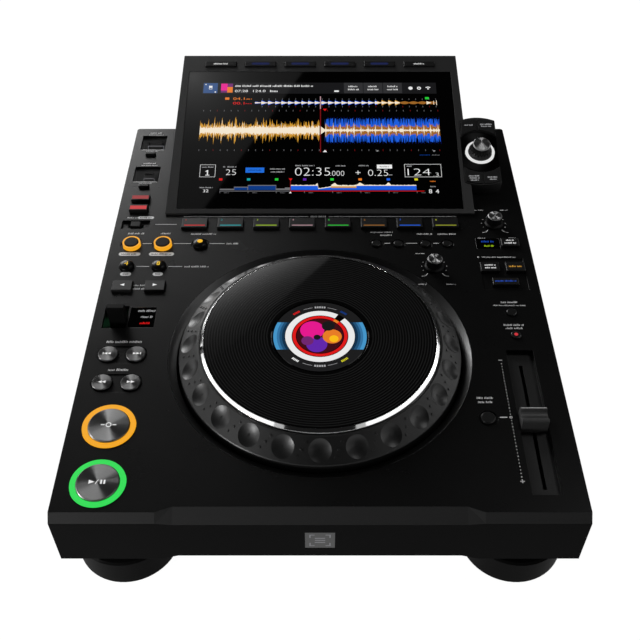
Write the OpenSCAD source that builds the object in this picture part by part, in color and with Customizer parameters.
// Tabletop media player with a large jog wheel, a raised display and a full set of sprung keys.
// The floor is Z = 0, the user sits at -Y, and the origin is under the middle of the footprint.

/* [Case] */
// Width of the case
body_w = 329; // [325:1:340]
// Depth of the case from the front face to the rear wall
body_depth = 405.8; // [403:0.2:412]
// How far the display housing reaches behind the rear wall
display_overhang = 51.6; // [48:0.2:56]
// Height of the deck surface above the table
deck_height = 81; // [78:0.5:88]
// Height of the case sides, from the deck down to the lower edge
case_h = 46.3; // [44:0.1:50]
// Thickness of the deck plate
deck_t = 3; // [2.6:0.1:3.4]
// Thickness of the case walls
wall_t = 3; // [2.5:0.1:4]
// Thickness of the sheet floor
floor_t = 2; // [1.5:0.1:3]
// Radius of the two rear corners
rear_corner_r = 2.5; // [1.5:0.5:6]

/* [Front panel] */
// Depth of the chamfer near the two ends
end_chamfer_depth = 5; // [4:0.1:6]
// Drop of the chamfer near the two ends
end_chamfer_drop = 5.1; // [4:0.1:6]
// Depth of the chamfer in the middle
mid_chamfer_depth = 9; // [7:0.1:11]
// Drop of the chamfer in the middle
mid_chamfer_drop = 6.4; // [6.1:0.1:8]
// Half the width of the middle stretch
mid_half_w = 89.7; // [84:0.1:95]
// Width of each ramp between the middle and an end
ramp_w = 10.5; // [8:0.1:14]
// How much higher the lower edge is in the middle
mid_lift = 3.8; // [2:0.1:5]
// Side of the square reader window
reader_w = 18.7; // [16:0.1:21]
// Drop from the deck to the reader window
reader_drop = 15.4; // [12:0.1:18]

/* [Feet] */
// Distance of the foot axes from the sides of the case
foot_inset = 34.8; // [34.8:0.1:39]
// Radius of a foot at its lower edge
foot_r = 34.4; // [28:0.1:34.4]
// Outward flare of a foot towards its top
foot_flare = 0.2; // [0:0.1:1]
// Height of the narrow neck between a foot and the case
foot_neck_h = 8; // [4:0.1:12]
// Radius of the neck above a foot
foot_neck_r = 22; // [18:0.5:26]
// Thickness of the rubber ring under a foot
foot_pad_t = 2.5; // [1.5:0.5:4]

/* [Jog wheel] */
// Distance of the jog axis behind the front face
jog_setback = 136.1; // [134:0.1:138]
// Width of the deck left beside the bevelled surround
side_strip = 58.6; // [58:0.1:60]
// Depth of the case left in front of the bevelled surround
front_strip = 30.2; // [29:0.1:32]
// Width of the bevelled surround and its gap
bezel_w = 7.4; // [6.6:0.1:8.5]
// Height of the touch plate above the deck
plate_rise = 16.1; // [15:0.1:18]
// Width of the dimpled ring round the bright rim
ring_w = 16; // [15.4:0.1:18]
// Width of the bright rim
rim_w = 2.2; // [1.6:0.1:3]
// Number of finger dimples
dimples = 24; // [18:1:26]
// Radius of a finger dimple
dimple_r = 7.8; // [6:0.1:8]
// Depth of a finger dimple
dimple_depth = 1.9; // [1:0.1:2.2]
// Radius of the round display in the middle
jog_display_r = 32.6; // [30:0.1:34]
// Radius of the fixed post that the wheel turns on
post_r = 14; // [12:0.5:15]
// Outer radius of the ball bearing
bearing_r = 22; // [20:0.5:23]

/* [Display] */
// Tilt of the display
tilt = 13.8; // [12:0.1:15]
// Width of the housing's frame beside the glass
glass_side = 8.65; // [8:0.05:11]
// Length of the display glass up the slope
glass_l = 152.5; // [148:0.5:154]
// Thickness of the display glass
glass_t = 1.8; // [1.2:0.1:2]
// Width of the deck left beside the housing's front edge
display_ledge = 39.05; // [37:0.05:40]
// Width that the housing loses towards the rear
housing_taper = 5.4; // [0:0.2:7]
// Height of the housing's front lip above the deck
housing_lip = 1.9; // [1.5:0.1:3]
// Margin in front of the glass
glass_margin = 4.6; // [4:0.1:6]
// Thickness of the housing's rear edge
rear_edge_t = 15; // [12:0.5:18]
// Distance between two browse keys
browse_pitch = 35.6; // [34:0.1:37]
// Width of a browse key
browse_w = 27.6; // [24:0.1:29]
// Depth of a browse key
browse_d = 6; // [5:0.1:7]

/* [Pads and keys] */
// Distance between two cue pads
pad_pitch = 28.7; // [27:0.1:29.2]
// Width of a cue pad
pad_w = 20.6; // [18:0.1:22]
// Depth of a cue pad
pad_d = 11.5; // [10:0.1:12.5]
// Travel of a deck key
key_travel = 1; // [0.6:0.1:1.1]
// Height of a deck key above the deck
key_rise = 2.4; // [1.2:0.1:3]
// Height of the two media keys above the deck
media_rise = 3; // [2:0.1:3.6]
// Height of the light collars round the loop buttons
collar_rise = 2.8; // [1.5:0.1:3.4]
// Gap between a key and its hole
key_gap = 0.3; // [0.2:0.05:0.4]
// Radius of the start and cue button caps
big_cap_r = 13.7; // [12:0.1:14]
// Outer radius of the light rings round the start and cue buttons
big_ring_r = 17.4; // [16.5:0.1:18]
// Radius of the loop button caps
loop_cap_r = 5.6; // [5:0.1:5.7]
// Outer radius of the light collars round the loop buttons
loop_ring_r = 6.9; // [6.7:0.1:7.3]
// Radius of the track and search buttons
seek_r = 7; // [6:0.1:7.4]
// Radius of the small round keys
dot_key_r = 3.6; // [3:0.1:4]
// Radius of the two turning knobs
knob_r = 6.2; // [5.5:0.1:6.6]
// Height of the two turning knobs
knob_h = 8.5; // [7.5:0.1:10]

/* [Tempo fader] */
// Width of the sunken fader tray
tray_w = 18.9; // [18.3:0.1:20]
// Length of the sunken fader tray
tray_l = 119.3; // [117:0.1:120]
// Depth of the fader tray's floor below the deck
tray_depth = 4; // [3.6:0.1:5]
// Width of the fader cap
fader_cap_w = 17.5; // [16:0.1:17.8]
// Length of the fader cap
fader_cap_l = 14; // [12:0.1:16]
// Height of the fader cap above the deck
fader_cap_rise = 7; // [6:0.1:9]
// Travel of the fader to each side
fader_travel = 48; // [44:0.5:50]

/* [Selector] */
// Width of the selector block
selector_w = 30.4; // [29:0.1:31]
// Radius of the selector block's curved ends
selector_r = 36; // [35:0.1:37.5]
// How far the selector block stands above the display's slope
selector_step = 0.8; // [0.5:0.1:1.5]
// Radius of the spun dish
dish_r = 22; // [21:0.1:23]
// Radius of the rotary selector's grip
selector_grip_r = 7.2; // [6.5:0.1:8]
// Height of the rotary selector above its dish
selector_grip_h = 9.5; // [8:0.1:11]
// Outer radius of the light ring round the rotary selector
selector_light_r = 12.3; // [12:0.1:13]

/* [Levers] */
// Width of the direction lever
lever_w = 12; // [11:0.1:12.6]
// Height of the direction lever above the deck
lever_rise = 14.5; // [12:0.1:17]
// Travel of the small call lever to each side
call_travel = 4; // [3:0.1:4.4]

/* [Hidden] */
$fn = 96;
fine = 180;
e = 0.02;
seat = 0.3;
run = 0.05;

total_depth = body_depth + display_overhang;
front_y = -total_depth / 2;
back_y = front_y + body_depth;
low_z = deck_height - case_h;
foot_x = body_w / 2 - foot_inset;
foot_h = low_z - foot_neck_h;
floor_z = low_z + floor_t;
under_z = deck_height - deck_t;
least_corner_r = 0.5;
inner_x = body_w / 2 - wall_t;
seam_y = front_y + end_chamfer_depth + 1;

jog_y = front_y + jog_setback;
bezel_r = min(jog_setback - front_strip, body_w / 2 - side_strip);
jog_r = bezel_r - bezel_w;
rim_r = jog_r - ring_w;
housing_w = body_w - 2 * display_ledge;
glass_w = housing_w - 2 * glass_side;
left_x = -body_w / 2 + 16.5;
left2_x = left_x + 24.5;
seek2_x = left_x + 19.5;
start_x = left_x + 10.4;
reloop_x = left_x + 54;
right_x = body_w / 2 - 24.9;

board_drop = 10.4;
board_t = 1.6;
board_z = deck_height - board_drop;
board_clear_r = bezel_r + 6.1;
flange_t = 1.2;
flange_w = 1.5;
ring_flange_t = 1;
dome_edge = 1.4;
dome_crown = 2;
switch_w = 6;
boss_r = 3.5;
boss_half = body_w / 2 - 52.5;
deck_boss_at = concat(
    [for (side = [-1, 1]) each [[side * boss_half, front_y + 18], [side * (boss_half + 4), front_y + 150.7]]],
    [for (side = [-1, 0, 1]) [side * (boss_half - 2), front_y + 285.2]]
);

pads = [for (i = [0:7]) [(i - 3.5) * pad_pitch, front_y + 272.4, pad_w, pad_d]];
jump_keys = [for (x = [left_x, left2_x]) [x, front_y + 200, 15, 10.5]];
media_keys = [
    [left_x + 0.2, front_y + 366.4, 8.4, 3.3], [left_x + 0.2, front_y + 321.2, 8.4, 3.3],
    [left_x, front_y + 304.2, 14.8, 7, media_rise], [left_x, front_y + 291, 14.8, 7.2, media_rise]
];
sync_keys = [
    [right_x - 9.9, front_y + 220.8, 14.5, 10], [right_x + 9.5, front_y + 220.8, 14.5, 10],
    [right_x - 0.1, front_y + 204.5, 19.7, 7.2]
];
jog_mode_keys = [[right_x + 9.4, front_y + 249.2, 14, 9]];
beat_keys = [for (x = [left_x, left2_x]) [x, front_y + 223, loop_cap_r]];
track_keys = [for (x = [left_x, seek2_x]) [x, front_y + 132.5, seek_r]];
search_keys = [for (x = [left_x, seek2_x]) [x, front_y + 106.6, seek_r]];
memory_keys = [for (d = [95.4, 78.2, 56.8, 39.8]) [right_x - d, front_y + 248.9, dot_key_r]];
reloop_keys = [[reloop_x, front_y + 248.2, loop_cap_r]];
tempo_keys = [
    [right_x, front_y + 173.3, dot_key_r], [right_x, front_y + 150.7, dot_key_r],
    [right_x - 29.2, front_y + 76.2, dot_key_r + 1.2]
];
cue_keys = [[start_x, front_y + 69.9, big_cap_r, big_ring_r]];
play_keys = [[start_x, front_y + 25.7, big_cap_r, big_ring_r]];
loop_in_keys = [[left_x + 0.2, front_y + 248.4, loop_cap_r, loop_ring_r]];
loop_out_keys = [[left2_x + 0.2, front_y + 248.4, loop_cap_r, loop_ring_r]];
square_keys = concat(pads, jump_keys, media_keys, sync_keys, jog_mode_keys);
round_keys = concat(beat_keys, track_keys, search_keys, memory_keys, reloop_keys, tempo_keys);
ringed_keys = concat(cue_keys, play_keys, loop_in_keys, loop_out_keys);

speed_knob_at = [right_x, front_y + 273.5];
adjust_knob_at = [right_x - 52.1, front_y + 222.8];
mode_window_at = [right_x - 7.7, front_y + 249.6];
mode_window_size = [18.5, 12];
lever_slot_at = [left_x - 0.3, front_y + 169.1];
lever_slot_size = [17.4, 22.5];
lever_window_at = [left_x + 18.9, front_y + 168.9];
lever_window_size = [18.9, 20];
lever_pivot = [left_x + 2, front_y + 167.2, deck_height - 22];
lever_pin_r = 2;
lever_top_d = 5;
lever_root_d = 7.6;
call_at = [left_x, front_y + 272.5];
call_recess = [22.3, 10.5, 2];
call_slot = [12.6, 3.6];
call_knob = [8, 6.8, 2.6];
window_t = 1.2;
pocket_drop = 0.6;

usb_at = [[left_x + 0.9, front_y + 384.4], [left_x + 0.3, front_y + 338.9]];
usb_size = [21.6, 20.6];
usb_wall = 1.2;
usb_drop = 16;

fader_at = [right_x + 0.2, front_y + 77];
fader_rest_y = fader_at[1] - 2.4;
fader_wall = 1.5;
fader_slot_w = 2.4;
fader_box_h = 11;
fader_stem_t = 1.6;

housing_y = front_y + 284.4;
slope_l = (total_depth / 2 - housing_y) / cos(tilt);
housing_back_z = deck_height + housing_lip + slope_l * sin(tilt);
housing_wall = 4;
skin_t = 6.5;
rib_drop = 3;
rib_h = 3.2;
glass_pocket = glass_t + 0.2;
browse_y = glass_margin + glass_l + 8.8;

selector_x = body_w / 2 - 29.2;
selector_y = front_y + 346.7;
selector_z = deck_height + housing_lip + selector_step + (selector_y - housing_y) * tan(tilt);
dish_drop = 1.2;
shaft_r = 3;
selector_push = 0.5;

ring_edge_z = deck_height + 1;
web_z = deck_height + plate_rise - 4.2;
web_t = 3;
ring_top_r = rim_r + 2;
ring_top_z = deck_height + plate_rise - 2.9;
rim_drop = 2.1;
rim_land = 0.3;
skirt_z = deck_height - 8;
hub_t = 4;
base_z = floor_z + 10.3;
bearing_z = base_z + 11;
bearing_h = 10;
hub_z = bearing_z - 1;

vent_w = 3;
vent_l = 42;
vent_y = front_y + 230;
rear_opening = [body_w - 77, 28];
rear_half = rear_opening[0] / 2;
rear_opening_z = low_z + 22;
plate_t = 1.5;
rear_face_y = back_y - wall_t;
rca_x = [for (d = [14, 30, 54]) d - rear_half];
rca_r = 4.15;
lan_x = 86 - rear_half;
lan_size = [16.4, 14];
data_x = 118 - rear_half;
data_size = [12.2, 11];
inlet_x = rear_half - 38;
inlet_size = [62, 25];
inlet_hole = [24.4, 17];
inlet_hole_x = 12;
inlet_depth = 16;
rocker_size = [12.6, 20];
rocker_x = inlet_x - 20;
rocker_pin_r = 1.5;
rocker_lean = 10;
chassis_lip_h = 8;
screw_r = 1.5;
screw_head_r = 3;
column_r = 4.5;
column_x = inner_x - 3.5;
column_inset = 12;
column_mid = 205;
column_ys = [front_y + column_inset + 6, front_y + column_mid, back_y - column_inset];

// ---- shared shapes ----

// A box standing on z0, centred on x and y.
module slab(w, d, z0, z1) {
    translate([-w / 2, -d / 2, z0])
        cube([w, d, z1 - z0]);
}

// A box with its upper edges bevelled on all four sides.
module bevelled_slab(w, d, z0, z1, bevel) {
    intersection() {
        rotate([90, 0, 0])
            linear_extrude(d, center = true)
                polygon([[-w / 2, z0], [w / 2, z0], [w / 2, z1 - bevel], [w / 2 - bevel, z1],
                    [bevel - w / 2, z1], [-w / 2, z1 - bevel]]);
        rotate([90, 0, 90])
            linear_extrude(w, center = true)
                polygon([[-d / 2, z0], [d / 2, z0], [d / 2, z1 - bevel], [d / 2 - bevel, z1],
                    [bevel - d / 2, z1], [-d / 2, z1 - bevel]]);
    }
}

// A round button: a bevelled disc from z0 to z1.
module bevelled_disc(r, z0, z1, bevel) {
    rotate_extrude($fn = fine)
        polygon([[0, z0], [r, z0], [r, z1 - bevel], [r - bevel, z1], [0, z1]]);
}

module tube(r_out, r_in, z0, z1) {
    rotate_extrude($fn = fine)
        polygon([[r_in, z0], [r_out, z0], [r_out, z1], [r_in, z1]]);
}

// A slot with round ends between two points on a line along X.
module dumbbell(x0, x1, r, z0, z1) {
    translate([(x0 + x1) / 2, 0, 0])
        slab(x1 - x0, 2 * r, z0, z1);
    for (x = [x0, x1])
        translate([x, 0, z0])
            cylinder(r = r, h = z1 - z0);
}

// Plan of the case behind the front panel, drawn in from the walls by inset.
module case_plan(inset, front) {
    r = max(rear_corner_r - inset, least_corner_r);
    w = body_w - 2 * inset;
    translate([-w / 2, front])
        square([w, back_y - inset - r - front]);
    translate([r - w / 2, front])
        square([w - 2 * r, back_y - inset - front]);
    for (side = [-1, 1])
        translate([side * (w / 2 - r), back_y - inset - r])
            circle(r = r);
}

module on_slope() {
    translate([0, housing_y, deck_height + housing_lip])
        rotate([tilt, 0, 0])
            children();
}

module on_selector() {
    translate([selector_x, selector_y, selector_z])
        rotate([tilt, 0, 0])
            children();
}

// ---- key families ----

module square_key(k) {
    flange = 2 * (key_gap + flange_w);
    translate([k[0], k[1], deck_height]) {
        bevelled_slab(k[2], k[3], -deck_t - key_gap, is_undef(k[4]) ? key_rise : k[4], 0.4);
        slab(k[2] + flange, k[3] + flange, -deck_t - key_gap - flange_t, -deck_t - key_gap);
    }
}

module round_key(k, rise) {
    translate([k[0], k[1], deck_height]) {
        bevelled_disc(k[2], -deck_t - key_gap - e, rise, 0.5);
        translate([0, 0, -deck_t - key_gap - flange_t])
            cylinder(r = k[2] + key_gap + flange_w, h = flange_t);
    }
}

// A round key with a domed top.
module domed_key(k, edge, crown) {
    translate([k[0], k[1], deck_height]) {
        rotate_extrude($fn = fine)
            polygon(concat([[0, -deck_t - key_gap - e], [k[2], -deck_t - key_gap - e]],
                [for (a = [0:15:90]) [k[2] * cos(a), edge + crown * sin(a)]]));
        translate([0, 0, -deck_t - key_gap - flange_t])
            cylinder(r = k[2] + key_gap + flange_w, h = flange_t);
    }
}

// A cap that moves inside a fixed light ring.
module ringed_key(k, rise) {
    translate([k[0], k[1], deck_height]) {
        bevelled_disc(k[2], -deck_t - ring_flange_t - key_gap - e, rise, 0.6);
        translate([0, 0, -deck_t - ring_flange_t - key_gap - ring_flange_t])
            cylinder(r = k[2] + key_gap + flange_w, h = ring_flange_t);
    }
}

module key_light(k, rise) {
    translate([k[0], k[1], deck_height]) {
        tube(k[3], k[2] + key_gap, -deck_t - e, rise);
        tube(k[3] + flange_w, k[2] + key_gap, -deck_t - ring_flange_t, -deck_t);
    }
}

// A moulded bar under the deck that joins neighbouring keys.
module key_bar(x0, x1, y0, y1) {
    top = under_z - key_gap;
    translate([x0, y0, top - flange_t])
        cube([x1 - x0, y1 - y0, flange_t]);
}

// ---- case ----

module side_frame() {
    color("#17181a") {
        difference() {
            union() {
                translate([0, 0, low_z])
                    linear_extrude(under_z - low_z)
                        difference() {
                            case_plan(0, seam_y);
                            case_plan(wall_t, front_y);
                        }
                for (side = [-1, 1])
                    for (y = column_ys)
                        translate([side * column_x, y, floor_z])
                            cylinder(r = column_r, h = 22);
            }
            for (side = [-1, 1])
                for (y = column_ys)
                    translate([side * column_x, y, floor_z - e])
                        cylinder(r = screw_r + run, h = 14);
            translate([0, back_y - wall_t / 2, 0])
                slab(rear_opening[0], wall_t + 2, rear_opening_z - rear_opening[1] / 2,
                    rear_opening_z + rear_opening[1] / 2);
        }
    }
}

module bottom_chassis() {
    front = front_y + wall_t + seat;
    color("#26272a")
        difference() {
            union() {
                translate([0, 0, low_z])
                    linear_extrude(floor_t)
                        case_plan(wall_t + seat, front);
                translate([0, front + floor_t / 2, 0])
                    slab(2 * inner_x - 20, floor_t, floor_z - e, low_z + chassis_lip_h);
                for (p = board_posts)
                    translate([p[0], p[1], floor_z - e])
                        cylinder(r = boss_r, h = board_post_h + e);
            }
            for (side = [-1, 1])
                for (y = column_ys)
                    translate([side * column_x, y, low_z - e])
                        cylinder(r = screw_r + key_gap, h = floor_t + 2 * e);
            for (x = [-60:10:60])
                translate([x, vent_y, 0])
                    slab(vent_w, vent_l, low_z - e, floor_z + e);
        }
}

module deck_bosses() {
    for (p = deck_boss_at)
        translate([p[0], p[1], board_z])
            cylinder(r = boss_r, h = under_z - board_z + e);
}

module deck_plan() {
    case_plan(0, front_y + mid_chamfer_depth);
    end_w = body_w / 2 - mid_half_w - ramp_w;
    for (side = [-1, 1])
        polygon([
            [side * mid_half_w, front_y + mid_chamfer_depth],
            [side * (mid_half_w + ramp_w), front_y + end_chamfer_depth],
            [side * (mid_half_w + ramp_w + end_w), front_y + end_chamfer_depth],
            [side * (mid_half_w + ramp_w + end_w), front_y + mid_chamfer_depth]
        ]);
}

module deck_holes() {
    low = under_z - e;
    high = deck_height + e;
    translate([0, jog_y, low])
        cylinder(r = bezel_r + seat, h = high - low, $fn = fine);
    for (k = square_keys)
        translate([k[0], k[1], 0])
            slab(k[2] + 2 * key_gap, k[3] + 2 * key_gap, low, high);
    for (k = round_keys)
        translate([k[0], k[1], low])
            cylinder(r = k[2] + key_gap, h = high - low);
    for (k = ringed_keys)
        translate([k[0], k[1], low])
            cylinder(r = k[3] + seat, h = high - low);
    for (u = usb_at)
        translate([u[0], u[1], 0])
            slab(usb_size[0], usb_size[1], low, high);
    for (p = [speed_knob_at, adjust_knob_at])
        translate([p[0], p[1], low])
            cylinder(r = shaft_r + 1, h = high - low);
    translate([fader_at[0], fader_at[1], 0])
        slab(tray_w, tray_l, low, high);
    translate([lever_slot_at[0], lever_slot_at[1], 0])
        slab(lever_slot_size[0], lever_slot_size[1], low, high);
    translate([call_at[0], call_at[1], 0])
        slab(call_slot[0], call_slot[1], low, high);
}

module deck_pockets() {
    top = deck_height + e;
    translate([call_at[0], call_at[1], 0])
        slab(call_recess[0], call_recess[1], deck_height - call_recess[2], top);
    translate([mode_window_at[0], mode_window_at[1], 0])
        slab(mode_window_size[0] + seat, mode_window_size[1] + seat, deck_height - window_t, top);
    translate([lever_window_at[0], lever_window_at[1], 0])
        slab(lever_window_size[0] + seat, lever_window_size[1] + seat, deck_height - window_t, top);
    translate([right_x + 0.1, front_y + 214.8, 0])
        slab(33.8, 34.4, deck_height - pocket_drop, top);
    for (pair = [track_keys, search_keys])
        translate([0, pair[0][1], 0])
            dumbbell(pair[0][0], pair[1][0], seek_r + 1, deck_height - pocket_drop, top);
    for (k = concat(loop_in_keys, loop_out_keys))
        translate([k[0], k[1], deck_height - pocket_drop])
            cylinder(r = k[3] + 1.8, h = pocket_drop + e);
    for (k = concat(reloop_keys, memory_keys, [tempo_keys[2]]))
        translate([k[0], k[1], deck_height - pocket_drop])
            cylinder(r = k[2] + 1.8, h = pocket_drop + e);
}

module top_deck() {
    color("#1b1c1e") {
        difference() {
            translate([0, 0, under_z])
                linear_extrude(deck_t)
                    deck_plan();
            deck_holes();
            deck_pockets();
        }
        deck_bosses();
    }
}

// Cross-section of the front panel's wall: [y, z] points for a chamfer and a lower edge.
function panel_section(depth, drop, lift) = [
    [front_y, low_z + lift], [front_y, deck_height - drop], [front_y + depth, deck_height],
    [front_y + depth, under_z], [front_y + wall_t, deck_height - drop - 0.4 * deck_t],
    [front_y + wall_t, low_z + lift]
];

// A solid between two sections of six points each, at x0 and x1.
module section_loft(x0, a, x1, b) {
    n = len(a);
    points = concat([for (p = a) [x0, p[0], p[1]]], [for (p = b) [x1, p[0], p[1]]]);
    sides = [for (i = [0:n - 1]) each [[i, (i + 1) % n, n + i], [(i + 1) % n, n + (i + 1) % n, n + i]]];
    halves = [[0, 1, 4], [0, 4, 5], [1, 2, 3], [1, 3, 4]];
    first = [for (h = halves) [h[2], h[1], h[0]]];
    last = [for (h = halves) [n + h[0], n + h[1], n + h[2]]];
    polyhedron(points, concat(sides, first, last));
}

module section_bar(x0, x1, section) {
    translate([x0, 0, 0])
        rotate([90, 0, 90])
            linear_extrude(x1 - x0)
                polygon(section);
}

module front_panel() {
    end = panel_section(end_chamfer_depth, end_chamfer_drop, 0);
    middle = panel_section(mid_chamfer_depth, mid_chamfer_drop, mid_lift);
    cheek = [end[0], end[1], end[2], end[3], [seam_y, under_z], [seam_y, low_z]];
    edge = mid_half_w + ramp_w;
    color("#1b1c1e")
        difference() {
            union() {
                section_bar(-mid_half_w, mid_half_w, middle);
                section_bar(edge, body_w / 2, end);
                section_bar(-body_w / 2, -edge, end);
                section_loft(mid_half_w, middle, edge, end);
                mirror([1, 0, 0])
                    section_loft(mid_half_w, middle, edge, end);
                for (side = [0, 1])
                    mirror([side, 0, 0])
                        section_bar(body_w / 2 - wall_t, body_w / 2, cheek);
            }
            translate([0, front_y, 0])
                slab(reader_w + seat, 2 * wall_t + 1, deck_height - reader_drop - reader_w - seat / 2,
                    deck_height - reader_drop + seat / 2);
        }
}

module reader_window() {
    color("#0a0b0c")
        translate([0, front_y, deck_height - reader_drop - reader_w]) {
            translate([-reader_w / 2, 0.4, 0])
                cube([reader_w, wall_t - 0.4, reader_w]);
            translate([-reader_w / 2 - 3, wall_t, -3])
                cube([reader_w + 6, 1.5, reader_w + 6]);
        }
}

module feet() {
    color("#202124")
        for (x = [-foot_x, foot_x])
            for (y = [front_y + foot_r + foot_flare + 0.1, back_y - foot_r - foot_flare - 2])
                translate([x, y, 0]) {
                    rotate_extrude($fn = fine)
                        polygon([
                            [0, foot_pad_t], [foot_r - 1, foot_pad_t], [foot_r, foot_pad_t + 1],
                            [foot_r + foot_flare, foot_h - 1.4], [foot_r + foot_flare - 1.4, foot_h],
                            [foot_neck_r, foot_h], [foot_neck_r, low_z], [0, low_z]
                        ]);
                    tube(foot_r - 2, foot_r - 9, 0, foot_pad_t + e);
                }
}

module screws() {
    color("silver")
        for (side = [-1, 1])
            for (y = column_ys)
                translate([side * column_x, y, 0])
                    rotate_extrude()
                        polygon([
                            [0, low_z - 1.6], [screw_head_r - 0.6, low_z - 1.6],
                            [screw_head_r, low_z - 1], [screw_head_r, low_z], [screw_r, low_z],
                            [screw_r, floor_z + 12], [0, floor_z + 13]
                        ]);
}

// ---- jog wheel ----

module jog_base() {
    color("#3a3c40")
        translate([0, jog_y, 0]) {
            rotate_extrude($fn = fine)
                polygon([
                    [0, base_z], [45, base_z], [45, base_z + 3], [post_r + 2, base_z + 3],
                    [post_r + 2, bearing_z], [post_r, bearing_z], [post_r, web_z - 2], [0, web_z - 2]
                ]);
            for (a = [0:60:300])
                rotate(a)
                    translate([38, 0, floor_z])
                        cylinder(r = 5, h = base_z - floor_z + e);
        }
}

module jog_bearing() {
    color("silver")
        translate([0, jog_y, 0])
            rotate_extrude($fn = fine)
                polygon([
                    [post_r + run, bearing_z], [bearing_r - 0.6, bearing_z], [bearing_r, bearing_z + 0.6],
                    [bearing_r, bearing_z + bearing_h - 0.6], [bearing_r - 0.6, bearing_z + bearing_h],
                    [post_r + run, bearing_z + bearing_h]
                ]);
}

module jog_bezel() {
    inner = jog_r + 2.1;
    color("#3b3d40")
        translate([0, jog_y, 0])
            rotate_extrude($fn = fine)
                polygon([
                    [bezel_r, deck_height], [bezel_r, under_z], [bezel_r + 4, under_z],
                    [bezel_r + 4, under_z - 2.5], [inner + 2.5, under_z - 2.5], [inner + 2.5, deck_height - 12],
                    [inner, deck_height - 12], [inner, deck_height - 4]
                ]);
}

// Centre of the sphere that cuts a dimple, and its radius, from the slope of the ring.
ring_run = jog_r - ring_top_r;
ring_climb = ring_top_z - ring_edge_z;
ring_angle = atan2(ring_climb, ring_run);
dimple_sphere_r = (dimple_r * dimple_r + dimple_depth * dimple_depth) / (2 * dimple_depth);
dimple_lift = dimple_sphere_r - dimple_depth;
dimple_mid = [(jog_r + ring_top_r) / 2 - 0.4, (ring_edge_z + ring_top_z) / 2 + 0.35];

// Puts its children on the sloping face of the ring, with z along the face's normal.
module on_ring(angle, along) {
    translate([0, jog_y, 0])
        rotate(angle)
            translate([dimple_mid[0] + along * cos(ring_angle), 0, dimple_mid[1] - along * sin(ring_angle)])
                rotate([0, ring_angle, 0])
                    children();
}

module jog_ring() {
    step = 360 / dimples;
    color("#2b2c2e") {
        difference() {
            translate([0, jog_y, 0])
                rotate_extrude($fn = fine)
                    polygon([
                        [jog_r, skirt_z], [jog_r, ring_edge_z - 0.4], [jog_r - 0.4, ring_edge_z + 0.35],
                        [ring_top_r, ring_top_z], [rim_r + 0.9, ring_top_z], [rim_r + 0.9, web_z],
                        [bearing_r + run, web_z], [bearing_r + run, hub_z], [bearing_r + hub_t, hub_z],
                        [bearing_r + hub_t, web_z - web_t], [ring_top_r - 3, web_z - web_t],
                        [jog_r - 3, ring_edge_z - 3.6], [jog_r - 3, skirt_z]
                    ]);
            for (i = [0:dimples - 1])
                on_ring(i * step - 90, 0)
                    translate([0, 0, dimple_lift])
                        sphere(r = dimple_sphere_r);
        }
        for (i = [0:dimples - 1])
            for (j = [-1:1])
                on_ring((i + 0.5) * step - 90 - j * 1.6, j * 4.6)
                    translate([0, 0, -0.5])
                        cylinder(r = 0.85, h = 1);
    }
}

module jog_plate() {
    top = deck_height + plate_rise - 0.2;
    color("#0d0d0f")
        translate([0, jog_y, 0])
            rotate_extrude($fn = fine)
                polygon([
                    [jog_display_r + 0.6, web_z], [rim_r - rim_w - run, web_z], [rim_r - rim_w - run, top],
                    [jog_display_r + 1.2, top], [jog_display_r + 0.6, top - 0.6]
                ]);
}

module jog_rim() {
    top = deck_height + plate_rise;
    color("#d8dadc")
        translate([0, jog_y, 0])
            rotate_extrude($fn = fine)
                polygon([
                    [rim_r - rim_w, web_z], [rim_r, web_z], [rim_r, top - rim_drop],
                    [rim_r - rim_w + rim_land, top], [rim_r - rim_w, top - rim_land]
                ]);
}

module jog_display() {
    disc_z = web_z + 1.3;
    color("#101113")
        translate([0, jog_y, 0])
            rotate_extrude($fn = fine)
                polygon([
                    [0, web_z - 2], [post_r - 2, web_z - 2], [post_r - 2, disc_z], [jog_display_r, disc_z],
                    [jog_display_r, deck_height + plate_rise - 1.2],
                    [jog_display_r - 0.5, deck_height + plate_rise - 0.7], [0, deck_height + plate_rise - 0.7]
                ]);
}

// ---- display ----

function slope_z(y) = deck_height + housing_lip + (y - housing_y) * tan(tilt);

// The selector block's upright walls. The rear one stands back to clear the tilted key pockets.
module selector_prism(grow) {
    back = 0.8;
    translate([selector_x, selector_y, deck_height])
        linear_extrude(60)
            intersection() {
                translate([0, back])
                    circle(r = selector_r * cos(tilt) + back + grow, $fn = fine);
                square([selector_w + 2 * grow, 3 * selector_r], center = true);
            }
}

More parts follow.
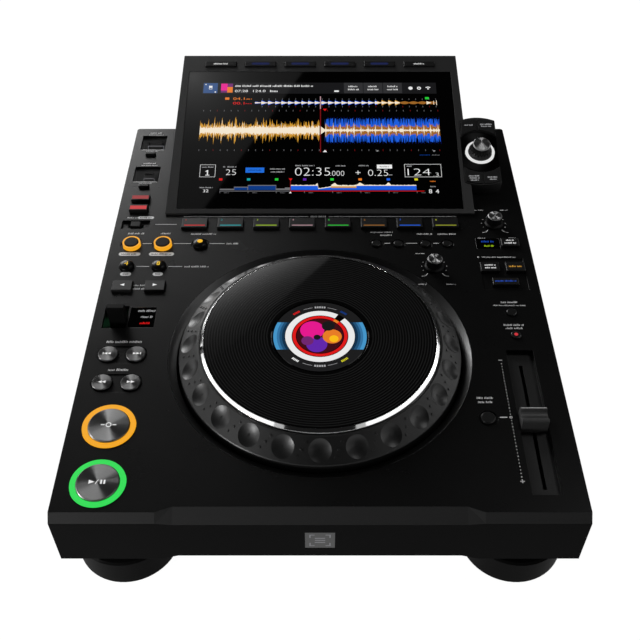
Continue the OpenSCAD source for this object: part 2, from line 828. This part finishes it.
module display_housing() {
    rear_y = total_depth / 2;
    half = housing_w / 2;
    shoulder = back_y + 4;
    color("#232427") {
        browse_rib();
        difference() {
            intersection() {
                section_bar(-half, half, [
                    [housing_y, deck_height], [housing_y, deck_height + housing_lip],
                    [rear_y - 1.2, slope_z(rear_y - 1.2)], [rear_y, housing_back_z - 1.4],
                    [rear_y, housing_back_z - rear_edge_t], [shoulder, deck_height + 15],
                    [back_y, deck_height + 11], [back_y, deck_height]
                ]);
                linear_extrude(3 * deck_height)
                    polygon([
                        [-half, housing_y], [half, housing_y],
                        [half - housing_taper / 2, rear_y], [housing_taper / 2 - half, rear_y]
                    ]);
            }
            section_bar(housing_wall + housing_taper / 2 - half, half - housing_wall - housing_taper / 2, [
                [housing_y + 30, deck_height - 1], [housing_y + 30, slope_z(housing_y + 30) - skin_t],
                [rear_y - housing_wall, slope_z(rear_y - housing_wall) - skin_t],
                [rear_y - housing_wall, housing_back_z - rear_edge_t + 3],
                [shoulder - 4, deck_height + 18], [back_y - housing_wall, deck_height + 14],
                [back_y - housing_wall, deck_height - 1]
            ]);
            on_slope()
                translate([-glass_w / 2 - seat / 2, glass_margin - seat / 2, -glass_pocket])
                    cube([glass_w + seat, glass_l + seat, 10]);
            on_slope()
                for (i = [0:5])
                    translate([(i - 2.5) * browse_pitch, browse_y, 0])
                        slab(browse_w + 2 * key_gap, browse_d + 2 * key_gap, -12, 5);
            selector_prism(seat);
        }
    }
}

module browse_rib() {
    on_slope()
        translate([0, browse_y, 0])
            slab(5 * browse_pitch + browse_w, 4, -skin_t - rib_drop - rib_h, -skin_t - rib_drop);
}

module display_glass() {
    color("#050506")
        on_slope()
            translate([-glass_w / 2, glass_margin, -glass_pocket])
                cube([glass_w, glass_l, glass_t]);
}

module browse_keys() {
    skin = skin_t * cos(tilt);
    color("#2a2b2e")
        on_slope()
            translate([0, browse_y, 0]) {
                for (i = [0:5])
                    translate([(i - 2.5) * browse_pitch, 0, 0])
                        bevelled_slab(browse_w, browse_d, -skin - key_gap - e, 1.2, 0.4);
                slab(5 * browse_pitch + browse_w, browse_d + 3, -skin - key_gap - flange_t, -skin - key_gap);
            }
}

// ---- selector ----

module selector_block() {
    color("#1d1e20")
        difference() {
            intersection() {
                selector_prism(0);
                on_selector()
                    slab(100, 120, -50, 0);
            }
            on_selector() {
                translate([0, 0, -3.4])
                    cylinder(r = dish_r + 0.2, h = 10, $fn = fine);
                translate([0, 0, -14])
                    cylinder(r = shaft_r + run, h = 20);
                translate([0, 0, -4])
                    linear_extrude(10)
                        selector_key_plan(0);
            }
        }
}

// Plan of the four keys round the dish, each drawn in by inset.
module selector_key_plan(inset) {
    half = selector_w / 2 - 0.9 - inset;
    difference() {
        intersection() {
            circle(r = selector_r - 0.9 - inset, $fn = fine);
            square([2 * half, 3 * selector_r], center = true);
        }
        circle(r = dish_r + 0.6 + inset, $fn = fine);
        square([2 * inset + 0.6, 3 * selector_r], center = true);
    }
}

module selector_keys() {
    color("#2a2b2e")
        on_selector()
            translate([0, 0, -2.6])
                linear_extrude(3.2)
                    selector_key_plan(seat);
}

module selector_dish() {
    color("#4a4c50")
        on_selector()
            intersection() {
                rotate_extrude($fn = fine)
                    polygon([
                        [shaft_r + 1, -3.4], [dish_r - 0.2, -3.4], [dish_r - 0.2, -0.5],
                        [dish_r - 0.8, -0.2], [selector_light_r + seat, -1.2], [selector_light_r + seat, -2.4],
                        [shaft_r + 1, -2.4]
                    ]);
                slab(selector_w - 0.6, 3 * dish_r, -10, 10);
            }
}

module selector_shaft() {
    color("silver")
        on_selector()
            translate([0, 0, -12.5])
                cylinder(r = shaft_r, h = 17.5);
}

module selector_knob() {
    flutes = 20;
    base = seat;
    color("#3c3e42")
        on_selector()
            difference() {
                rotate_extrude($fn = fine)
                    polygon([
                        [0, base], [selector_grip_r + 2.6, base], [selector_grip_r + 2.6, base + 0.8],
                        [selector_grip_r + 0.9, base + 3.4], [selector_grip_r + 0.3, base + selector_grip_h - 1],
                        [selector_grip_r - 0.5, base + selector_grip_h], [0, base + selector_grip_h]
                    ]);
                translate([0, 0, -1])
                    cylinder(r = shaft_r + run, h = 1 + 5 + seat);
                for (i = [0:flutes - 1])
                    rotate(i * 360 / flutes)
                        translate([selector_grip_r + 1.1, 0, base + 2])
                            cylinder(r = 0.6, h = selector_grip_h - 3.5);
            }
}

// ---- lights, windows, knobs and levers ----

module light_rings() {
    color("#f2b13a") {
        for (k = concat(cue_keys, play_keys))
            key_light(k, 0.7);
        for (k = concat(loop_in_keys, loop_out_keys))
            key_light(k, collar_rise);
        on_selector()
            tube(selector_light_r, selector_grip_r + 3, -2.4, -0.4);
    }
}

module indicator_windows() {
    color("#08090a") {
        translate([mode_window_at[0], mode_window_at[1], 0])
            slab(mode_window_size[0], mode_window_size[1], deck_height - window_t, deck_height);
        translate([lever_window_at[0], lever_window_at[1], 0])
            slab(lever_window_size[0], lever_window_size[1], deck_height - window_t, deck_height);
    }
}

module turning_knob(at) {
    base = deck_height + 0.4;
    translate([at[0], at[1], 0])
        difference() {
            rotate_extrude()
                polygon([
                    [0, base], [knob_r + 1.2, base], [knob_r + 1.2, base + 0.8], [knob_r, base + 2],
                    [knob_r - 0.4, base + knob_h - 0.8], [knob_r - 1.2, base + knob_h], [0, base + knob_h]
                ]);
            translate([0, 0, base - 1])
                cylinder(r = shaft_r + run, h = 1 + 6.2);
            translate([0, knob_r, base + knob_h])
                cube([1, 2 * knob_r, 1], center = true);
        }
}

module speed_knob() {
    color("#2c2d30")
        turning_knob(speed_knob_at);
}

module jog_adjust_knob() {
    color("#2c2d30")
        turning_knob(adjust_knob_at);
}

module direction_lever() {
    blade_h = lever_rise - (lever_pivot[2] - deck_height);
    color("#17181a")
        translate([lever_pivot[0], lever_pivot[1], lever_pivot[2]])
            difference() {
                union() {
                    section_bar(-lever_w / 2, lever_w / 2, [
                        [-3.6, 0], [-3.6, blade_h - 0.6], [-3, blade_h], [lever_top_d - 3.6, blade_h],
                        [lever_root_d - 3.6, 22], [lever_root_d - 3.6, 0]
                    ]);
                    rotate([0, 90, 0])
                        cylinder(r = 5, h = lever_w, center = true);
                }
                rotate([0, 90, 0])
                    cylinder(r = lever_pin_r + run, h = lever_w + 2, center = true);
            }
}

module call_lever() {
    floor_of_recess = deck_height - call_recess[2];
    color("#17181a")
        translate([call_at[0], call_at[1], 0]) {
            bevelled_slab(call_knob[0], call_knob[1], floor_of_recess + seat,
                floor_of_recess + seat + call_knob[2], 0.6);
            slab(3.4, call_slot[1] - 0.6, board_z + 1.9, floor_of_recess + seat + e);
        }
}

// ---- tempo fader ----

module fader_unit() {
    w = tray_w + 2 * fader_wall;
    l = tray_l + 2 * fader_wall;
    tray_z = deck_height - tray_depth;
    box_z = tray_z - fader_wall - fader_box_h;
    slot_l = 2 * fader_travel + 6;
    color("#1a1b1d")
        translate([fader_at[0], fader_at[1], 0])
            difference() {
                slab(w, l, box_z, under_z);
                slab(tray_w, tray_l, tray_z, deck_height);
                slab(w - 2 * fader_wall, l - 2 * fader_wall, box_z + fader_wall, tray_z - fader_wall);
                translate([0, fader_rest_y - fader_at[1], 0])
                    slab(fader_slot_w, slot_l, tray_z - 5, tray_z + 1);
            }
}

module fader_cap() {
    base = deck_height - tray_depth + seat;
    top = deck_height + fader_cap_rise;
    half = fader_cap_l / 2;
    saddle = 2.4;
    steps = 8;
    stem_z = deck_height - tray_depth - fader_wall - fader_box_h + fader_wall + seat + 3;
    color("#2f3033")
        translate([fader_at[0], fader_rest_y, 0]) {
            section_bar(-fader_cap_w / 2, fader_cap_w / 2, concat(
                [[half, base], [half - 0.8, top - 0.8], [half - 1.4, top], [half - 3, top]],
                [for (i = [1:steps - 1]) [(half - 3) * cos(180 * i / steps), top - saddle * sin(180 * i / steps)]],
                [[3 - half, top], [1.4 - half, top], [0.8 - half, top - 0.8], [-half, base]]
            ));
            slab(fader_stem_t, 5, stem_z - e, base + e);
            slab(9, 12, stem_z - 3, stem_z);
        }
}

// ---- rear ----

module rear_panel() {
    color("#3a3b3e")
        translate([0, rear_face_y - plate_t, rear_opening_z])
            difference() {
                translate([-rear_opening[0] / 2 - 4, 0, -rear_opening[1] / 2 - 3])
                    cube([rear_opening[0] + 8, plate_t, rear_opening[1] + 6]);
                for (x = rca_x)
                    translate([x, -1, 0])
                        rotate([-90, 0, 0])
                            cylinder(r = rca_r + 1.7, h = plate_t + 2);
                for (s = [[lan_x, lan_size], [data_x, data_size], [inlet_x, inlet_size]])
                    translate([s[0], plate_t / 2, 0])
                        slab(s[1][0] + seat, plate_t + 2, -s[1][1] / 2 - seat / 2, s[1][1] / 2 + seat / 2);
            }
}

module rear_sockets() {
    color("#8a8c90")
        translate([0, rear_face_y, rear_opening_z]) {
            for (x = rca_x)
                translate([x, 0, 0])
                    rotate([-90, 0, 0]) {
                        translate([0, 0, -plate_t - 9])
                            slab(13, 13, 0, 8.7);
                        translate([0, 0, -plate_t - 1])
                            cylinder(r = rca_r + 1.4, h = plate_t + 2);
                        difference() {
                            translate([0, 0, -1])
                                cylinder(r = rca_r, h = 9);
                            translate([0, 0, 1])
                                cylinder(r = 1.6, h = 10);
                        }
                    }
            translate([lan_x, 0, 0])
                difference() {
                    translate([-lan_size[0] / 2, -21, -lan_size[1] / 2])
                        cube([lan_size[0], 21, lan_size[1]]);
                    translate([-6, -13, -5])
                        cube([12, 14, 8]);
                    translate([-3, -13, 2])
                        cube([6, 14, 2.6]);
                }
            translate([data_x, 0, 0]) {
                difference() {
                    translate([-data_size[0] / 2, -17, -data_size[1] / 2])
                        cube([data_size[0], 17, data_size[1]]);
                    translate([-4.25, -11, -3.9])
                        cube([8.5, 12, 7.8]);
                }
                translate([-2.8, -11 - e, -1.6])
                    cube([5.6, 9.6, 3.2]);
            }
        }
}

module power_inlet() {
    depth = 24;
    w = inlet_size[0];
    h = inlet_size[1];
    color("#151617")
        translate([inlet_x, rear_face_y, rear_opening_z]) {
            difference() {
                translate([-w / 2, -depth, -h / 2])
                    cube([w, depth, h]);
                translate([inlet_hole_x - inlet_hole[0] / 2, -inlet_depth, -inlet_hole[1] / 2])
                    cube([inlet_hole[0], 20, inlet_hole[1]]);
                translate([rocker_x - inlet_x - rocker_size[0] / 2 - seat, -11, -rocker_size[1] / 2 - 1])
                    cube([rocker_size[0] + 2 * seat, 20, rocker_size[1] + 2]);
            }
            for (p = [[-7, -2], [7, -2], [0, 2]])
                translate([inlet_hole_x + p[0] - 1, -inlet_depth - e, p[1] - 2])
                    cube([2, 12, 4]);
            translate([rocker_x - inlet_x, -4.5, 0])
                rotate([0, 90, 0])
                    cylinder(r = rocker_pin_r, h = rocker_size[0] + 1, center = true);
        }
}

module power_switch() {
    color("#1a1b1d")
        translate([rocker_x, rear_face_y - 4.5, rear_opening_z])
            rotate([rocker_lean, 0, 0])
                difference() {
                    section_bar(-rocker_size[0] / 2, rocker_size[0] / 2, [
                        [-2.5, -3.5], [3.4, -rocker_size[1] / 2 + 0.6], [5.2, -rocker_size[1] / 2 + 0.9],
                        [3.6, 0], [5.2, rocker_size[1] / 2 - 0.9], [3.4, rocker_size[1] / 2 - 0.6], [-2.5, 3.5]
                    ]);
                    rotate([0, 90, 0])
                        cylinder(r = rocker_pin_r + run, h = rocker_size[0] + 2, center = true);
                }
}

// ---- ports on the deck ----

module usb_ports() {
    w = usb_size[0];
    d = usb_size[1];
    color("#222326")
        for (i = [0, 1])
            translate([usb_at[i][0], usb_at[i][1], under_z])
                difference() {
                    slab(w + 2 * usb_wall, d + 2 * usb_wall, -usb_drop, 0);
                    section_bar(-w / 2, w / 2, [
                        [-d / 2, 1], [-d / 2, -usb_drop + 3], [-d / 2 + 7.5, -usb_drop + 3],
                        [d / 2 - 0.6, -1.2], [d / 2, -1.2], [d / 2, 1]
                    ]);
                    translate([0, 3.6, -6.4])
                        rotate([-45, 0, 0])
                            port_cut(i);
                }
}

module port_cut(kind) {
    if (kind == 0)
        difference() {
            slab(13.4, 5.8, -4, 6);
            translate([0, 0.9, 0])
                slab(11.4, 1.8, -5, 7);
        }
    else
        difference() {
            dumbbell(-2.9, 2.9, 1.7, -4, 6);
            slab(6.4, 0.9, -5, 7);
        }
}

// ---- inside ----

board_post_h = 8;
main_board_at = [body_w / 2 - 92.5, back_y - 78];
main_board_size = [150, 92];
supply_at = [80.5 - body_w / 2, back_y - 76];
supply_size = [84, 86];
function corners(at, size, inset) = [
    for (sx = [-1, 1]) for (sy = [-1, 1])
        [at[0] + sx * (size[0] / 2 - inset), at[1] + sy * (size[1] / 2 - inset)]
];
board_posts = concat(corners(main_board_at, main_board_size, 5), corners(supply_at, supply_size, 5));

module main_board() {
    z = floor_z + board_post_h;
    color("#1f4d33")
        translate([main_board_at[0], main_board_at[1], z]) {
            slab(main_board_size[0], main_board_size[1], 0, board_t);
            translate([-20, 4, 0])
                slab(34, 34, board_t - e, 4);
            for (x = [-16:4:16])
                translate([-20 + x, 4, 0])
                    slab(1.4, 34, 4 - e, 12);
            for (p = [[30, 18], [30, -4], [52, 18], [52, -4]])
                translate([p[0], p[1], 0])
                    slab(14, 18, board_t - e, 3);
            translate([-58, -30, 0])
                slab(26, 6, board_t - e, 8);
        }
}

module power_supply() {
    z = floor_z + board_post_h;
    color("#6d5a2c")
        translate([supply_at[0], supply_at[1], z]) {
            slab(supply_size[0], supply_size[1], 0, board_t);
            translate([10, 8, 0])
                slab(34, 30, board_t - e, 24);
            for (y = [-24, -4, 16])
                translate([-26, y, board_t - e])
                    cylinder(r = 8, h = 22);
            translate([34, -10, 0])
                slab(3, 36, board_t - e, 22);
            translate([6, -28, 0])
                slab(22, 14, board_t - e, 12);
        }
}

module switch_under(at, top) {
    translate([at[0], at[1], 0]) {
        slab(switch_w, switch_w, board_z - e, top - 1);
        translate([0, 0, top - 1 - e])
            cylinder(r = 1.6, h = 1 + e);
    }
}

module board_plan() {
    half = inner_x - 1.5;
    difference() {
        union() {
            translate([-half, front_y + 12])
                square([2 * half, 282]);
            translate([-half, front_y + 200])
                square([30, 171]);
        }
        translate([0, jog_y])
            circle(r = board_clear_r, $fn = fine);
        translate([-board_clear_r * 0.86, front_y + 6])
            square([2 * board_clear_r * 0.86, jog_y - front_y - 6]);
        translate([usb_at[1][0], usb_at[1][1]])
            square([usb_size[0] + 2 * usb_wall + 1, usb_size[1] + 2 * usb_wall + 1], center = true);
        translate([fader_at[0], fader_at[1]])
            square([tray_w + 2 * fader_wall + 1, tray_l + 2 * fader_wall + 1], center = true);
        translate([lever_pivot[0], lever_pivot[1]])
            square([lever_w + 1, 16], center = true);
    }
}

module control_board() {
    plain_top = under_z - key_gap - flange_t - key_travel - seat;
    ring_top = under_z - key_gap - 2 * ring_flange_t - key_travel - seat;
    color("#1f4d33") {
        translate([0, 0, board_z - board_t])
            linear_extrude(board_t)
                board_plan();
        for (k = concat(square_keys, round_keys))
            switch_under(k, plain_top);
        for (k = ringed_keys)
            switch_under(k, ring_top);
        for (p = [speed_knob_at, adjust_knob_at])
            translate([p[0], p[1], 0]) {
                slab(11, 11, board_z - e, board_z + 5);
                translate([0, 0, board_z])
                    cylinder(r = shaft_r, h = deck_height + 6 - board_z);
            }
        translate([call_at[0], call_at[1], 0])
            slab(14, 6, board_z - e, board_z + 1.6);
        for (side = [-1, 1])
            translate([lever_pivot[0] + side * (lever_w / 2 + 1.5), lever_pivot[1], 0])
                slab(2.4, 12, lever_pivot[2] - 5, board_z - board_t + e);
        translate(lever_pivot)
            rotate([0, 90, 0])
                cylinder(r = lever_pin_r, h = lever_w + 4, center = true);
    }
}

// ---- keys, one module a node ----

module pad(i) {
    color("#2b2c2f")
        square_key(pads[i]);
}
module pad_1() { pad(0); }
module pad_2() { pad(1); }
module pad_3() { pad(2); }
module pad_4() { pad(3); }
module pad_5() { pad(4); }
module pad_6() { pad(5); }
module pad_7() { pad(6); }
module pad_8() { pad(7); }

module play_button() {
    color("#5b5d60")
        ringed_key(play_keys[0], 1.6);
}

module cue_button() {
    color("#5b5d60")
        ringed_key(cue_keys[0], 1.6);
}

module loop_in_button() {
    color("#111213")
        ringed_key(loop_in_keys[0], collar_rise + 0.5);
}

module loop_out_button() {
    color("#111213")
        ringed_key(loop_out_keys[0], collar_rise + 0.5);
}

module reloop_button() {
    color("#1a1b1d")
        domed_key(reloop_keys[0], dome_edge, dome_crown);
}

module beat_loop_keys() {
    color("#1a1b1d") {
        for (k = beat_keys)
            domed_key(k, dome_edge, dome_crown);
        key_bar(beat_keys[0][0], beat_keys[1][0], beat_keys[0][1] - 2, beat_keys[0][1] + 2);
    }
}

module beat_jump_keys() {
    color("#2b2c2f") {
        for (k = jump_keys)
            square_key(k);
        key_bar(jump_keys[0][0], jump_keys[1][0], jump_keys[0][1] - 2, jump_keys[0][1] + 2);
    }
}

module track_keys() {
    color("#5b5d60") {
        for (k = track_keys)
            round_key(k, 1.4);
        key_bar(track_keys[0][0], track_keys[1][0], track_keys[0][1] - 2, track_keys[0][1] + 2);
    }
}

module search_keys() {
    color("#5b5d60") {
        for (k = search_keys)
            round_key(k, 1.4);
        key_bar(search_keys[0][0], search_keys[1][0], search_keys[0][1] - 2, search_keys[0][1] + 2);
    }
}

module memory_keys() {
    color("#2b2c2f") {
        for (k = memory_keys)
            round_key(k, 1.2);
        key_bar(memory_keys[0][0], memory_keys[3][0], memory_keys[0][1] - 2, memory_keys[0][1] + 2);
    }
}

module sync_keys() {
    color("#2b2c2f") {
        for (k = sync_keys)
            square_key(k);
        key_bar(sync_keys[2][0] - 3, sync_keys[2][0] + 3, sync_keys[2][1], sync_keys[0][1] + 2);
        key_bar(sync_keys[0][0], sync_keys[1][0], sync_keys[0][1] - 2, sync_keys[0][1] + 2);
    }
}

module jog_mode_key() {
    color("#2b2c2f")
        square_key(jog_mode_keys[0]);
}

module tempo_keys() {
    color("#3c3e42") {
        for (k = tempo_keys)
            round_key(k, 1.4);
        key_bar(tempo_keys[0][0] - 2, tempo_keys[0][0] + 2, tempo_keys[1][1], tempo_keys[0][1]);
    }
}

module media_keys() {
    color("#4a1a1c")
        for (k = media_keys)
            square_key(k);
}

bottom_chassis();
side_frame();
top_deck();
front_panel();
rear_panel();
rear_sockets();
power_inlet();
power_switch();
display_housing();
display_glass();
browse_keys();
main_board();
power_supply();
control_board();
usb_ports();
jog_base();
jog_bearing();
jog_bezel();
jog_ring();
jog_plate();
jog_rim();
jog_display();
fader_unit();
fader_cap();
selector_block();
selector_dish();
selector_shaft();
selector_knob();
selector_keys();
light_rings();
indicator_windows();
reader_window();
feet();
screws();
speed_knob();
jog_adjust_knob();
direction_lever();
call_lever();
pad_1();
pad_2();
pad_3();
pad_4();
pad_5();
pad_6();
pad_7();
pad_8();
play_button();
cue_button();
loop_in_button();
loop_out_button();
reloop_button();
beat_loop_keys();
beat_jump_keys();
track_keys();
search_keys();
memory_keys();
sync_keys();
jog_mode_key();
tempo_keys();
media_keys();
